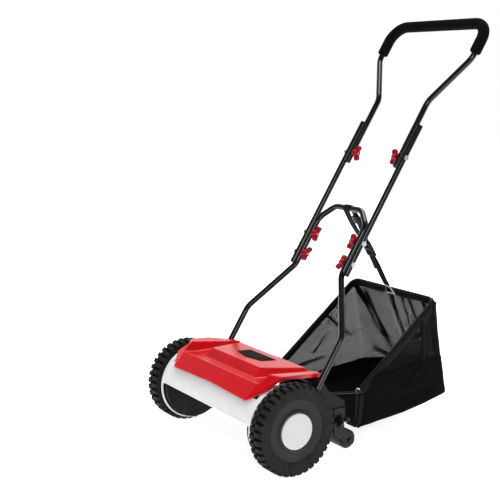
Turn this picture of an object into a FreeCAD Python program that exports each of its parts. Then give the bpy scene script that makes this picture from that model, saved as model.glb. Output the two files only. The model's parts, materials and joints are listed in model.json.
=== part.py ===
import FreeCAD, Part
import math
import os

from FreeCAD import Vector

os.makedirs("parts", exist_ok=True)

# Push reel mower with a rear roller, a folding handle and a hung grass bag.
# Millimetres.  X runs across the mower (+X is the operator's left), -Y is the front, +Z is up.
# The model is laid out with the wheel axle at y = 0 and the ground at z = 0, and every shape is
# shifted along Y on export, so that the origin is the bottom centre of the whole mower's box.

# ---- driving dimensions ---------------------------------------------------------------------
WHEEL_R = 110.0             # over the tread lugs
WHEEL_OUT = 268.0           # outer face of a wheel, from the middle of the mower
WHEEL_IN = 229.5            # inner face of a wheel's moulded centre
TYRE_IN = 223.0             # inner face of its tyre
AXLE_Z = WHEEL_R
CUT_WIDTH = 380.0

PLATE_IN = 192.0            # side plate, inner face
PLATE_OUT = 197.0           # side plate, outer face
PLATE_R = 92.0

REEL_R = 62.0
REEL_BLADES = 5
REEL_DROP = 6.0             # reel axis below the wheel axle
GEAR_MODULE = 2.0
RING_TEETH = 66
PINION_TEETH = 14
CENTRES = GEAR_MODULE * (RING_TEETH - PINION_TEETH) / 2.0
REEL_Y = math.sqrt(CENTRES ** 2 - REEL_DROP ** 2)
REEL_Z = AXLE_Z - REEL_DROP

LEAN = math.radians(33.0)   # the handle leans back from upright by this much
HANDLE_Y = 278.0            # a point of the handle's plane
HANDLE_Z = 453.6
TUBE_R = 8.0
TUBE_WALL = 1.2
LEG_X = 98.0                # the arched tube's upright legs
MID_X = LEG_X + 2 * TUBE_R + 0.3
FOOT_X = 208.0              # the arched tube's feet
GRIP_X = 181.0
GRIP_U = 727.0              # top bar, measured up the handle's plane
GRIP_R = 15.0
GRIP_BEND = 50.0
BOLT_R = 3.0
LOWER_BOLTS_U = (0.0, 61.0)
FOLD_U = 314.0

ROLLER_Y = 215.0
ROLLER_R = 24.0
ROLLER_HALF = 186.0
HEIGHT_BOLT = (178.0, 83.0)
HEIGHT_TRAVEL = (-10.0, 15.0)

BAG_HALF = 175.0
BAG_PIVOT = (258.0, 140.0)
FABRIC = 3.0

GRIP_REAR = HANDLE_Y + GRIP_U * math.sin(LEAN) + GRIP_R
AXLE_Y = -(GRIP_REAR - WHEEL_R) / 2.0

X_AXIS = Vector(1, 0, 0)
Y_AXIS = Vector(0, 1, 0)
Z_AXIS = Vector(0, 0, 1)
SIDES = {"left": 1, "right": -1}


# ---- helpers --------------------------------------------------------------------------------
def save(node, shape):
    """Writes one node, moved to the mower's own origin."""
    moved = shape.copy()
    moved.translate(Vector(0, AXLE_Y, 0))
    moved.exportStep("parts/%s.step" % node)


def box(x0, x1, y0, y1, z0, z1):
    return Part.makeBox(x1 - x0, y1 - y0, z1 - z0, Vector(x0, y0, z0))


def cyl_x(radius, x0, x1, y, z):
    return Part.makeCylinder(radius, x1 - x0, Vector(x0, y, z), X_AXIS)


def cyl_z(radius, x, y, z0, z1):
    return Part.makeCylinder(radius, z1 - z0, Vector(x, y, z0), Z_AXIS)


def ring_x(outer, inner, x0, x1, y, z):
    return cyl_x(outer, x0, x1, y, z).cut(cyl_x(inner, x0 - 1, x1 + 1, y, z))


def fuse(shapes):
    """One solid from several that touch or overlap."""
    return shapes[0].multiFuse(shapes[1:]).removeSplitter()


def mirrored(shape):
    return shape.mirror(Vector(0, 0, 0), X_AXIS)


def on_side(shape, side):
    """A shape drawn on the +X side, put on the side asked for."""
    return shape if side > 0 else mirrored(shape)


def prism_x(points, x0, x1):
    """A (y, z) outline carried along X."""
    wire = Part.makePolygon([Vector(x0, y, z) for y, z in points + points[:1]])
    return Part.Face(wire).extrude(Vector(x1 - x0, 0, 0))


def turned(profile):
    """An (x, radius) outline turned about the wheel axle."""
    wire = Part.makePolygon([Vector(x, 0, AXLE_Z + r) for x, r in profile + profile[:1]])
    return Part.Face(wire).revolve(Vector(0, 0, AXLE_Z), X_AXIS, 360)


def rounded_path(points, bend):
    """A wire of straight runs joined by tangent arcs of one radius."""
    edges = []
    start = points[0]
    for before, corner, after in zip(points, points[1:], points[2:]):
        way_in = (corner - before).normalize()
        way_out = (after - corner).normalize()
        turn = way_in.getAngle(way_out)
        reach = bend * math.tan(turn / 2)
        first = corner - way_in * reach
        last = corner + way_out * reach
        inward = (way_out - way_in).normalize()
        middle = corner + inward * (bend / math.cos(turn / 2) - bend)
        edges.append(Part.makeLine(start, first))
        edges.append(Part.Arc(first, middle, last).toShape())
        start = last
    edges.append(Part.makeLine(start, points[-1]))
    return Part.Wire(edges)


def rod(points, radius, bend):
    """A round rod bent along the points."""
    path = rounded_path(points, bend)
    start = points[0]
    circle = Part.Wire(Part.makeCircle(radius, start, points[1] - start))
    return path.makePipeShell([circle], True, True)


def pipe(points, bend, outer=TUBE_R, inner=TUBE_R - TUBE_WALL):
    return rod(points, outer, bend).cut(rod(points, inner, bend))


def on_handle(x, u):
    """A point of the handle's plane: x across, u up the slope."""
    return Vector(x, HANDLE_Y + u * math.sin(LEAN), HANDLE_Z + u * math.cos(LEAN))


def turned_over(face):
    """The same face seen from its other side; its first corner stays first."""
    return face[:1] + face[:0:-1]


def polyhedron(faces):
    """A solid from flat faces, each a list of corners; corners that aren't flat are split."""
    sheets = []
    for corners in faces:
        for second, third in zip(corners[1:], corners[2:]):
            loop = [corners[0], second, third, corners[0]]
            sheets.append(Part.Face(Part.makePolygon([Vector(*p) for p in loop])))
    shell = Part.makeShell(sheets)
    shell.sewShape()
    solid = Part.makeSolid(shell)
    if solid.Volume < 0:
        return polyhedron([turned_over(corners) for corners in faces])
    return solid


# ---- wheels ---------------------------------------------------------------------------------
LUGS = 36
LUG_ARC = math.radians(5.6)         # half of it each side of a lug's middle, at the tread
TREAD_R = 102.0                     # floor between the lugs
BEAD_R = 74.0                       # the tyre's inner radius
LUG_ROWS = ((TYRE_IN, 245.0, 0.0), (247.0, WHEEL_OUT, 0.5))


def lug_row(x0, x1, phase):
    """A ring of lugs with flat flanks and a rolling face that is part of the wheel's circle."""
    pitch = 2 * math.pi / LUGS
    edges = []
    for i in range(LUGS):
        middle = (i + phase) * pitch

        def point(radius, angle):
            return Vector(x0, radius * math.cos(angle), AXLE_Z + radius * math.sin(angle))

        foot = point(TREAD_R - 1, middle - LUG_ARC * 0.62)
        heel = point(WHEEL_R, middle - LUG_ARC / 2)
        crown = point(WHEEL_R, middle)
        toe = point(WHEEL_R, middle + LUG_ARC / 2)
        end = point(TREAD_R - 1, middle + LUG_ARC * 0.62)
        following = point(TREAD_R - 1, middle + pitch - LUG_ARC * 0.62)
        edges += [Part.makeLine(foot, heel), Part.Arc(heel, crown, toe).toShape(),
                  Part.makeLine(toe, end), Part.makeLine(end, following)]
    star = Part.Face(Part.Wire(edges)).extrude(Vector(x1 - x0, 0, 0))
    return star.cut(cyl_x(TREAD_R - 4, x0 - 1, x1 + 1, 0, AXLE_Z))


def tyre():
    """Carcass with two staggered rows of lugs that wrap its shoulders."""
    carcass = turned([(WHEEL_IN, BEAD_R), (TYRE_IN, 82.0), (TYRE_IN, 96.0), (TYRE_IN + 4, TREAD_R),
                      (WHEEL_OUT - 4, TREAD_R), (WHEEL_OUT - 0.6, 99.0), (WHEEL_OUT, 92.0),
                      (WHEEL_OUT - 1.0, 78.0), (WHEEL_OUT - 3.5, BEAD_R)])
    envelope = turned([(TYRE_IN, 90.0), (TYRE_IN, 104.5), (TYRE_IN + 5, WHEEL_R),
                       (WHEEL_OUT - 5, WHEEL_R), (WHEEL_OUT, 104.5), (WHEEL_OUT, 90.0)])
    rows = [lug_row(*row).common(envelope) for row in LUG_ROWS]
    return fuse([carcass] + rows)


def involute_flank(base_r, from_r, to_r, half_at_pitch, pitch_r, steps=5):
    """(radius, half angle) pairs up one flank of a tooth."""
    def spread(radius):
        if radius <= base_r:
            return 0.0
        pressure = math.acos(base_r / radius)
        return math.tan(pressure) - pressure

    pairs = []
    for i in range(steps):
        radius = from_r + (to_r - from_r) * i / (steps - 1)
        pairs.append((radius, half_at_pitch + spread(pitch_r) - spread(radius)))
    return pairs


PRESSURE = math.radians(20)
BACKLASH = 0.30
GEAR_LINE = math.atan2(-REEL_DROP, REEL_Y)      # from the axle towards the reel


def toothed(teeth, flank, y, z, x0, x1):
    """A toothed disc with one tooth's middle on the line of centres."""
    points = []
    for i in range(teeth):
        middle = GEAR_LINE + i * 2 * math.pi / teeth
        for radius, half in flank:
            points.append((radius, middle - half))
        for radius, half in reversed(flank):
            points.append((radius, middle + half))
    outline = [(y + r * math.cos(a), z + r * math.sin(a)) for r, a in points]
    return prism_x(outline, x0, x1)


def pinion_blank(x0, x1):
    pitch_r = GEAR_MODULE * PINION_TEETH / 2
    half = math.pi / 2 / PINION_TEETH - BACKLASH / 2 / pitch_r
    flank = involute_flank(pitch_r * math.cos(PRESSURE), pitch_r - 2.4, pitch_r + 1.6, half, pitch_r)
    return toothed(PINION_TEETH, flank, REEL_Y, REEL_Z, x0, x1)


def ring_cutter(x0, x1):
    """The hollow of the internal gear: a disc whose teeth are the gear's tooth spaces."""
    pitch_r = GEAR_MODULE * RING_TEETH / 2
    half = math.pi / 2 / RING_TEETH
    flank = involute_flank(pitch_r * math.cos(PRESSURE), pitch_r - 1.7, pitch_r + 2.4, half, pitch_r)
    return toothed(RING_TEETH, flank, 0, AXLE_Z, x0, x1)


STUD_R = 6.0
STUD_RUN = 0.05
HUB_END = 261.0
RING_GEAR = (WHEEL_IN + 0.5, 242.0)
PINION = (231.0, 240.5)


def wheel_disc():
    """Moulded wheel centre: hub, ribbed web, rim and the internal drive gear."""
    shell = turned([(RING_GEAR[0], 60.0), (RING_GEAR[0], BEAD_R), (WHEEL_OUT - 3.6, BEAD_R),
                    (WHEEL_OUT - 4.6, 71.0), (262.0, 52.0), (264.5, 50.0), (264.5, 46.0),
                    (261.0, 44.5), (261.0, 14.0), (HUB_END, STUD_R + STUD_RUN),
                    (226.0, STUD_R + STUD_RUN), (226.0, 14.0), (256.5, 14.0), (256.5, 60.0)])
    ribs = []
    for i in range(6):
        rib = box(246.0, 257.0, 13.0, 69.5, AXLE_Z - 1.5, AXLE_Z + 1.5)
        rib.rotate(Vector(0, 0, AXLE_Z), X_AXIS, 60 * i)
        ribs.append(rib)
    hollow = cyl_x(68.5, RING_GEAR[1], 256.5, 0, AXLE_Z)
    gear_hole = ring_cutter(RING_GEAR[0] - 1, RING_GEAR[1])
    hub = ring_x(14.0, STUD_R + STUD_RUN, 226.0, 256.5, 0, AXLE_Z)
    body = shell.cut(hollow.fuse(gear_hole))
    return fuse([body, hub] + ribs)


def hub_cap():
    """Pressed-in cap with a gently domed face and a snap skirt."""
    return turned([(HUB_END + 0.4, 43.7), (265.5, 43.7), (267.2, 41.0), (WHEEL_OUT, 30.0),
                   (WHEEL_OUT, 0.001), (266.0, 0.001), (266.0, 38.0), (HUB_END + 0.4, 40.5)])


def axle_stud():
    """Shouldered stud pressed in the side plate, grooved for a circlip at its free end."""
    body = fuse([cyl_x(STUD_R, PLATE_IN - 1, 265.0, 0, AXLE_Z),
                 cyl_x(11.0, PLATE_OUT, 225.6, 0, AXLE_Z),
                 cyl_x(10.0, PLATE_IN - 2, PLATE_IN, 0, AXLE_Z)])
    return body.cut(ring_x(STUD_R + 1, STUD_R - 0.7, 262.4, 263.6, 0, AXLE_Z))


def axle_circlip():
    """Open ring in the stud's groove."""
    clip = ring_x(STUD_R + 3.0, STUD_R - 0.7, 262.45, 263.55, 0, AXLE_Z)
    return clip.cut(box(262, 264, -2.5, 2.5, AXLE_Z - STUD_R - 4, AXLE_Z - 3))


# ---- reel -----------------------------------------------------------------------------------
BLADE_INNER = 44.0
BLADE_THICK = 2.6
BLADE_TWIST = math.radians(74)
BLADE_HALF = 189.0
SHAFT_R = 6.0
SPIDER_X = (-172.0, -86.0, 0.0, 86.0, 172.0)
PAWL = (4.0, 14.6)          # thickness and length of the sliding drive key


def blade_section(x, phase):
    """Cross-section of one helical blade at a place along the reel."""
    angle = phase + BLADE_TWIST * x / (2 * BLADE_HALF)
    tip = math.sqrt(REEL_R ** 2 - (BLADE_THICK / 2) ** 2)
    corners = []
    for radial, across in ((BLADE_INNER, -1), (tip, -1), (tip, 1), (BLADE_INNER, 1)):
        side = across * BLADE_THICK / 2
        corners.append(Vector(x, REEL_Y + radial * math.cos(angle) - side * math.sin(angle),
                              REEL_Z + radial * math.sin(angle) + side * math.cos(angle)))
    return Part.makePolygon(corners + corners[:1])


def reel_blades():
    blades = []
    for i in range(REEL_BLADES):
        phase = 2 * math.pi * i / REEL_BLADES
        stations = [-BLADE_HALF + 2 * BLADE_HALF * k / 8 for k in range(9)]
        sections = [blade_section(x, phase) for x in stations]
        blades.append(Part.makeLoft(sections, True, False))
    return blades


def spider(x, blades):
    """Pressed star that carries the blades, notched to take them."""
    twist = math.degrees(BLADE_TWIST * x / (2 * BLADE_HALF))
    parts = [cyl_x(17.0, x - 1.5, x + 1.5, REEL_Y, REEL_Z)]
    for i in range(REEL_BLADES):
        arm = box(x - 1.5, x + 1.5, REEL_Y, REEL_Y + 51, REEL_Z - 7, REEL_Z + 7)
        arm.rotate(Vector(x, REEL_Y, REEL_Z), X_AXIS, twist + 360 / REEL_BLADES * i)
        parts.append(arm)
    star = fuse(parts).cut(cyl_x(SHAFT_R, x - 2, x + 2, REEL_Y, REEL_Z))
    return star.cut(Part.makeCompound(blades))


def reel_shaft():
    shaft = cyl_x(SHAFT_R, -243.0, 243.0, REEL_Y, REEL_Z)
    slots = [on_side(pawl_blank(0.02), side) for side in SIDES.values()]
    return shaft.cut(Part.makeCompound(slots))


def pawl_blank(grow=0.0):
    """Sliding key across the shaft that catches the pinion's notches going forward."""
    half_t = PAWL[0] / 2 + grow
    half_l = PAWL[1] / 2
    return box(233.0 - grow, 239.0 + grow, REEL_Y - half_l, REEL_Y + half_l,
               REEL_Z - half_t, REEL_Z + half_t)


def pinion():
    """Pinion with ratchet notches round its bore."""
    gear = pinion_blank(*PINION).cut(cyl_x(SHAFT_R + 0.05, 230, 242, REEL_Y, REEL_Z))
    notches = []
    for i in range(4):
        notch = pawl_blank(0.15)
        notch.rotate(Vector(0, REEL_Y, REEL_Z), X_AXIS, 45 * i)
        notches.append(notch)
    return gear.cut(Part.makeCompound(notches))


def bearing():
    """Flanged bush for the reel shaft, set in a side plate."""
    bush = fuse([cyl_x(12.0, PLATE_IN - 1.5, PLATE_OUT + 6, REEL_Y, REEL_Z),
                 cyl_x(14.0, PLATE_OUT, PLATE_OUT + 3, REEL_Y, REEL_Z)])
    return bush.cut(cyl_x(SHAFT_R + 0.04, PLATE_IN - 3, PLATE_OUT + 8, REEL_Y, REEL_Z))


# ---- bedknife -------------------------------------------------------------------------------
KNIFE_GAP = 0.15
KNIFE_BACK = math.radians(20)       # the cutting line lies this far behind the reel's lowest line
KNIFE_Y = REEL_Y + (REEL_R + KNIFE_GAP) * math.sin(KNIFE_BACK)
KNIFE_Z = REEL_Z - (REEL_R + KNIFE_GAP) * math.cos(KNIFE_BACK)
KNIFE_THICK = 2.5
KNIFE_DEPTH = 28.0
BAR_TOP = KNIFE_Z - KNIFE_THICK
BED_PIVOT = (KNIFE_Y + 22.0, BAR_TOP - 7.0)
BED_PIN_R = 5.0
KNIFE_SCREWS_X = (-150.0, -50.0, 50.0, 150.0)
ADJUSTER_X = 180.0
ADJUSTER_Y = BED_PIVOT[0] + 25.0
LUG_TOP = BED_PIVOT[1] + 3.0
SHELF_Z = 62.0


def bedknife():
    blade = prism_x([(KNIFE_Y, KNIFE_Z), (KNIFE_Y + KNIFE_DEPTH, KNIFE_Z),
                     (KNIFE_Y + KNIFE_DEPTH, BAR_TOP), (KNIFE_Y + 4, BAR_TOP), (KNIFE_Y, KNIFE_Z - 1.2)],
                    -BLADE_HALF, BLADE_HALF)
    for x in KNIFE_SCREWS_X:
        blade = blade.cut(cyl_z(BOLT_R, x, BED_PIVOT[0] - 8, BAR_TOP - 1, KNIFE_Z + 1))
    return blade


def bed_bar():
    """Bar behind the reel that carries the bedknife and rocks on its end pins."""
    y, z = BED_PIVOT
    bar = prism_x([(y - 14, BAR_TOP), (y + 9, BAR_TOP), (y + 9, z - 7), (y - 8, z - 7)],
                  -PLATE_IN + 1.5, PLATE_IN - 1.5)
    parts = [bar, cyl_x(BED_PIN_R, -PLATE_OUT, PLATE_OUT, y, z)]
    for side in SIDES.values():
        parts.append(on_side(box(ADJUSTER_X - 8, ADJUSTER_X + 8, y + 5, ADJUSTER_Y + 8,
                                 LUG_TOP - 6, LUG_TOP), side))
    body = fuse(parts)
    for x in KNIFE_SCREWS_X:
        body = body.cut(cyl_z(BOLT_R, x, y - 8, z - 9, BAR_TOP + 1))
    return body


def bedknife_screw(x):
    y = BED_PIVOT[0] - 8
    low = BED_PIVOT[1] - 7
    return fuse([cyl_z(BOLT_R, x, y, low - 0.5, KNIFE_Z - 0.3), cyl_z(5.2, x, y, low - 3.5, low)])


def bed_adjuster():
    """Slotted screw that sets the gap between bedknife and reel."""
    tip = LUG_TOP + 0.7
    screw = fuse([cyl_z(BOLT_R - 0.05, ADJUSTER_X, ADJUSTER_Y, tip, SHELF_Z + 14),
                  cyl_z(6.5, ADJUSTER_X, ADJUSTER_Y, SHELF_Z + 14, SHELF_Z + 19)])
    return screw.cut(box(ADJUSTER_X - 7, ADJUSTER_X + 7, ADJUSTER_Y - 0.7, ADJUSTER_Y + 0.7,
                         SHELF_Z + 17, SHELF_Z + 20))


# ---- side plates and what ties them -----------------------------------------------------------
FRONT_TIE = (-62.0, 148.0)
REAR_TIE = (115.0, 188.0)
TIE_R = 7.0
FOOT_BOLTS_U = (-378.0, -342.0)
BRACKET_LENGTH = 68.0
GUIDE_Y = (162.0, 194.0)
HANGER_R = 3.0
HANGER_X = PLATE_IN - HANGER_R


def foot_points():
    return [(p.y, p.z) for p in (on_handle(0, u) for u in FOOT_BOLTS_U)]


def side_plate():
    """Moulded side plate: a disc round the axle with a rear arm for the roller bracket."""
    disc = cyl_x(PLATE_R, PLATE_IN, PLATE_OUT, 0, AXLE_Z)
    arm = prism_x([(10, 196), (60, 197), (124, 198), (136, 178), (150, 160), (196, 132), (196, 66),
                   (150, 40), (70, 22), (20, 40)], PLATE_IN, PLATE_OUT)
    shelf = box(ADJUSTER_X - 8, PLATE_IN, ADJUSTER_Y - 8, ADJUSTER_Y + 8, SHELF_Z - 3, SHELF_Z + 3)
    guides = [box(PLATE_OUT, PLATE_OUT + 3.5, y0, y1, 79, 116)
              for y0, y1 in ((GUIDE_Y[0] - 2.5, GUIDE_Y[0]), (GUIDE_Y[1], GUIDE_Y[1] + 2))]
    body = fuse([disc, arm, shelf] + guides)
    far = PLATE_OUT + 1
    near = PLATE_IN - 1
    holes = [cyl_x(STUD_R, near, far, 0, AXLE_Z), cyl_x(12.0, near, far, REEL_Y, REEL_Z),
             cyl_x(BED_PIN_R + 0.05, near, far, *BED_PIVOT), cyl_x(4.0, near, far, *HEIGHT_BOLT),
             cyl_z(BOLT_R, ADJUSTER_X, ADJUSTER_Y, SHELF_Z - 4, SHELF_Z + 4)]
    holes += [cyl_x(BOLT_R, near, far, y, z) for y, z in (FRONT_TIE, REAR_TIE)]
    holes += [cyl_x(4.0, near, far, y, z) for y, z in foot_points()]
    return body.cut(Part.makeCompound(holes))


def tie_bar(place, screws=()):
    """Tube between the side plates with a shouldered, riveted end each side."""
    body = ring_x(TIE_R, TIE_R - 2, -PLATE_IN, PLATE_IN, *place)
    ends = [cyl_x(BOLT_R, PLATE_IN - 8, PLATE_OUT + 2.0, *place),
            cyl_x(TIE_R - 2, PLATE_IN - 8, PLATE_IN, *place),
            cyl_x(5.0, PLATE_OUT, PLATE_OUT + 2.0, *place)]
    parts = [body] + ends + [mirrored(end) for end in ends]
    bar = fuse(parts)
    for x in screws:
        bar = bar.cut(Part.makeCylinder(2.4, 3 * TIE_R, Vector(x, place[0], place[1]), Y_AXIS))
    return bar


def height_bolt():
    """Bolt that clamps a roller bracket to its side plate."""
    y, z = HEIGHT_BOLT
    return fuse([cyl_x(4.0, PLATE_IN, 222.0, y, z), cyl_x(8.0, PLATE_IN - 4.5, PLATE_IN, y, z)])


def bag_hanger():
    """Wire arm behind a side plate that ends in an inward pin for the bag's hook."""
    y, z = BAG_PIVOT
    arm = rod([Vector(HANGER_X, 124, 158), Vector(HANGER_X, y, z), Vector(168.0, y, z)], HANGER_R, 7.0)
    tab = box(PLATE_IN - 6, PLATE_IN, 122, 132, 152, 163)
    return fuse([arm, tab])


# ---- guard and cover --------------------------------------------------------------------------
GUARD_R = 96.0
GUARD_WALL = 2.5
RIM_R = 98.0
RIM_IN = 88.0
RIM_WIDE = 5.0              # of the hoop that runs on down round the end of the reel
GUARD_HALF = 212.0


def wedge(radius, x0, x1, from_deg, to_deg):
    """A slice of a disc about the wheel axle, between two angles up from the rear."""
    piece = Part.makeCylinder(radius, x1 - x0, Vector(0, 0, 0), Z_AXIS, to_deg - from_deg)
    piece.rotate(Vector(0, 0, 0), Z_AXIS, from_deg)
    piece.rotate(Vector(0, 0, 0), Vector(1, 1, 1), 120)
    piece.translate(Vector(x0, 0, AXLE_Z))
    return piece


def front_guard():
    """White grass guard in front of the reel, with a round rim at each end."""
    sheet = wedge(GUARD_R, -GUARD_HALF, GUARD_HALF, 133, 170)
    sheet = sheet.cut(cyl_x(GUARD_R - GUARD_WALL, -GUARD_HALF - 1, GUARD_HALF + 1, 0, AXLE_Z))
    lip = cyl_x(2.6, -GUARD_HALF + 6, GUARD_HALF - 6, *lip_place())
    band = wedge(RIM_R, PLATE_OUT, GUARD_HALF, 72, 172)
    band = band.cut(cyl_x(RIM_R - 3.0, PLATE_OUT + 2.5, GUARD_HALF + 1, 0, AXLE_Z))
    hoop = wedge(RIM_R, GUARD_HALF - RIM_WIDE, GUARD_HALF, 168, 266)
    hoop = hoop.cut(cyl_x(RIM_R - 3.5, PLATE_OUT, GUARD_HALF + 1, 0, AXLE_Z))
    rim = band.cut(cyl_x(RIM_IN, PLATE_OUT - 1, GUARD_HALF + 1, 0, AXLE_Z)).fuse(hoop)
    body = fuse([sheet, lip, rim, mirrored(rim)])
    return body.cut(Part.makeCompound([cyl_x(PLATE_R + 0.2, -PLATE_OUT, PLATE_OUT, 0, AXLE_Z)]))


def lip_place():
    """Middle of the rolled lower lip of the guard."""
    angle = math.radians(170)
    radius = GUARD_R - GUARD_WALL / 2
    return radius * math.cos(angle), AXLE_Z + radius * math.sin(angle)


# Corners of the red cover, as (x, y, z), on its middle line and on the +X side.
COVER_SKIN = 3.0
MID_LOW = (0.0, -78.0, 178.0)
MID_SHOULDER = (0.0, -49.0, 210.0)
FRONT_LOW = (170.0, -78.0, 178.0)
FRONT_SHOULDER = (173.0, -49.0, 210.0)
CORNER_LOW = (208.0, -47.5, 203.5)
FENDER_FRONT_IN = (181.0, -22.0, 231.0)
FENDER_FRONT_OUT = (GUARD_HALF, -4.0, 229.0)
FENDER_LOW_FRONT = (GUARD_HALF, -2.0, 221.0)
FENDER_LOW_REAR = (GUARD_HALF, 52.0, 216.0)
FENDER_TOP_REAR = (GUARD_HALF, 52.0, 225.0)
TAIL_OUT_TOP = (193.0, 126.0, 212.0)
TAIL_OUT_LOW = (193.0, 127.0, 203.0)
TAIL_IN_TOP = (170.0, 126.0, 213.0)
TAIL_IN_LOW = (170.0, 128.0, 181.0)
MID_REAR_LOW = (0.0, 128.0, 181.0)
VALLEY_Z = 205.0
VALLEY_FRONT = (172.0, -18.0, VALLEY_Z)
VALLEY_REAR = (166.0, 126.0, VALLEY_Z)
MID_REAR = (0.0, 126.0, VALLEY_Z)
PLATEAU_BASE = ((118.0, -18.0, VALLEY_Z), (154.0, 121.0, VALLEY_Z))
PLATEAU_TOP = ((111.0, 1.0, 227.0), (145.0, 112.0, 217.0))


def on_middle(point):
    return (0.0, point[1], point[2])


def cover_sheet():
    """Faces of the cover's outer surface on the +X side, open underneath."""
    base_front, base_rear = PLATEAU_BASE
    top_front, top_rear = PLATEAU_TOP
    middle = [
        [MID_LOW, FRONT_LOW, FRONT_SHOULDER, MID_SHOULDER],
        [MID_SHOULDER, FRONT_SHOULDER, VALLEY_FRONT, base_front, on_middle(base_front)],
        [base_front, VALLEY_FRONT, VALLEY_REAR, base_rear],
        [on_middle(base_rear), base_rear, VALLEY_REAR, MID_REAR],
        [MID_REAR, VALLEY_REAR, TAIL_IN_LOW, MID_REAR_LOW],
        [on_middle(base_front), base_front, top_front, on_middle(top_front)],
        [base_front, base_rear, top_rear, top_front],
        [base_rear, on_middle(base_rear), on_middle(top_rear), top_rear],
        [on_middle(top_front), top_front, top_rear, on_middle(top_rear)],
    ]
    fender = [
        [FRONT_LOW, CORNER_LOW, FENDER_LOW_FRONT, FENDER_FRONT_OUT, FENDER_FRONT_IN, FRONT_SHOULDER],
        [FENDER_LOW_FRONT, FENDER_LOW_REAR, FENDER_TOP_REAR, FENDER_FRONT_OUT],
        [FENDER_LOW_REAR, TAIL_OUT_LOW, TAIL_OUT_TOP, FENDER_TOP_REAR],
        [FENDER_FRONT_IN, FENDER_FRONT_OUT, FENDER_TOP_REAR, TAIL_OUT_TOP, TAIL_IN_TOP],
        [TAIL_OUT_LOW, TAIL_IN_LOW, TAIL_IN_TOP, TAIL_OUT_TOP],
        [TAIL_IN_LOW, VALLEY_REAR, TAIL_IN_TOP],
        [FRONT_SHOULDER, FENDER_FRONT_IN, VALLEY_FRONT],
        [VALLEY_FRONT, FENDER_FRONT_IN, TAIL_IN_TOP, VALLEY_REAR],
    ]
    return middle + fender


LOWER_EDGE = [MID_LOW, FRONT_LOW, CORNER_LOW, FENDER_LOW_FRONT, FENDER_LOW_REAR, TAIL_OUT_LOW,
              TAIL_IN_LOW, MID_REAR_LOW]


def inner_corner(point):
    """A corner of the cover moved to the inside of its skin; the lower edge keeps its height."""
    x, y, z = point
    middle_y = (TAIL_IN_LOW[1] + FRONT_LOW[1]) / 2
    half_y = (TAIL_IN_LOW[1] - FRONT_LOW[1]) / 2
    return (x * (1 - COVER_SKIN / GUARD_HALF),
            middle_y + (y - middle_y) * (1 - COVER_SKIN / half_y),
            z if point in LOWER_EDGE else z - COVER_SKIN)


def on_far_side(face):
    return turned_over([(-x, y, z) for x, y, z in face])


def deck_cover():
    """Thin moulded cover, open underneath, with screw holes in its rear skirt."""
    outer = cover_sheet()
    inner = [turned_over([inner_corner(point) for point in face]) for face in outer]
    rim = [[b, a, inner_corner(a), inner_corner(b)] for a, b in zip(LOWER_EDGE, LOWER_EDGE[1:])]
    half = outer + inner + rim
    skin = polyhedron(half + [on_far_side(face) for face in half])
    for x in COVER_SCREWS_X:
        skin = skin.cut(Part.makeCylinder(2.5, 14, Vector(x, 118, COVER_SCREW_Z), Y_AXIS))
    faces = skin.removeSplitter().Faces
    return Part.makeSolid(Part.makeShell(sorted(faces, key=lambda face: face.CenterOfMass.z)))


COVER_SCREWS_X = (-120.0, 0.0, 120.0)
COVER_SCREW_Z = REAR_TIE[1]


def cover_screw(x):
    head_y = 127.9
    return fuse([Part.makeCylinder(2.4, 10, Vector(x, head_y - 10, COVER_SCREW_Z), Y_AXIS),
                 Part.makeCylinder(5.0, 2.2, Vector(x, head_y, COVER_SCREW_Z), Y_AXIS)])


def badge():
    """Plain shield-shaped plate let into the middle of the cover."""
    outline = [(-58, 84), (58, 84), (54, 42), (0, 28), (-54, 42)]
    (_, y0, z0), (_, y1, z1) = PLATEAU_TOP
    slope = (z1 - z0) / (y1 - y0)

    def lifted(point, rise):
        x, y = point
        return (x, y, z0 + slope * (y - y0) + rise)

    low = [lifted(p, 0.0) for p in outline]
    high = [lifted(p, 1.6) for p in outline]
    count = len(outline)
    sides = [[low[i], low[(i + 1) % count], high[(i + 1) % count], high[i]] for i in range(count)]
    return polyhedron([low, high] + sides)


# ---- handle -----------------------------------------------------------------------------------
FOOT_U = -392.0
ARCH_U = 150.0
ARCH = ((FOOT_X, FOOT_U), (FOOT_X, -188.0), (LEG_X, -35.0), (LEG_X, 110.0), (55.0, ARCH_U))
UPPER = ((LEG_X, 285.0), (LEG_X, 485.0), (GRIP_X, 618.0), (GRIP_X, GRIP_U))
MID_U = (-30.0, 409.0)
GRIP_FROM_U = 636.0
SHANK = (70.0, MID_X + TUBE_R + 0.2)


def both_ways(half):
    """Points of a symmetrical tube, from its left end round to its right end."""
    return [on_handle(x, u) for x, u in half] + [on_handle(-x, u) for x, u in reversed(half)]


def across_handle(radius, x0, x1, u):
    point = on_handle(0, u)
    return cyl_x(radius, x0, x1, point.y, point.z)


def bolt_holes(stations, reach, radius):
    holes = [across_handle(radius, -reach, reach, u) for u in stations]
    return Part.makeCompound(holes)


def lower_handle():
    """One arched tube from foot to foot."""
    tube = pipe(both_ways(ARCH), 38.0)
    tube = tube.cut(bolt_holes(LOWER_BOLTS_U, 130.0, BOLT_R))
    feet = [on_side(across_handle(4.0, FOOT_X - 20, FOOT_X + 12, u), side)
            for u in FOOT_BOLTS_U for side in SIDES.values()]
    return tube.cut(Part.makeCompound(feet))


def middle_tube():
    start = on_handle(MID_X, MID_U[0])
    length = MID_U[1] - MID_U[0]
    way = on_handle(0, 1) - on_handle(0, 0)
    tube = Part.makeCylinder(TUBE_R, length, start, way)
    tube = tube.cut(Part.makeCylinder(TUBE_R - TUBE_WALL, length, start, way))
    return tube.cut(bolt_holes(LOWER_BOLTS_U + (FOLD_U,), 140.0, BOLT_R))


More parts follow.
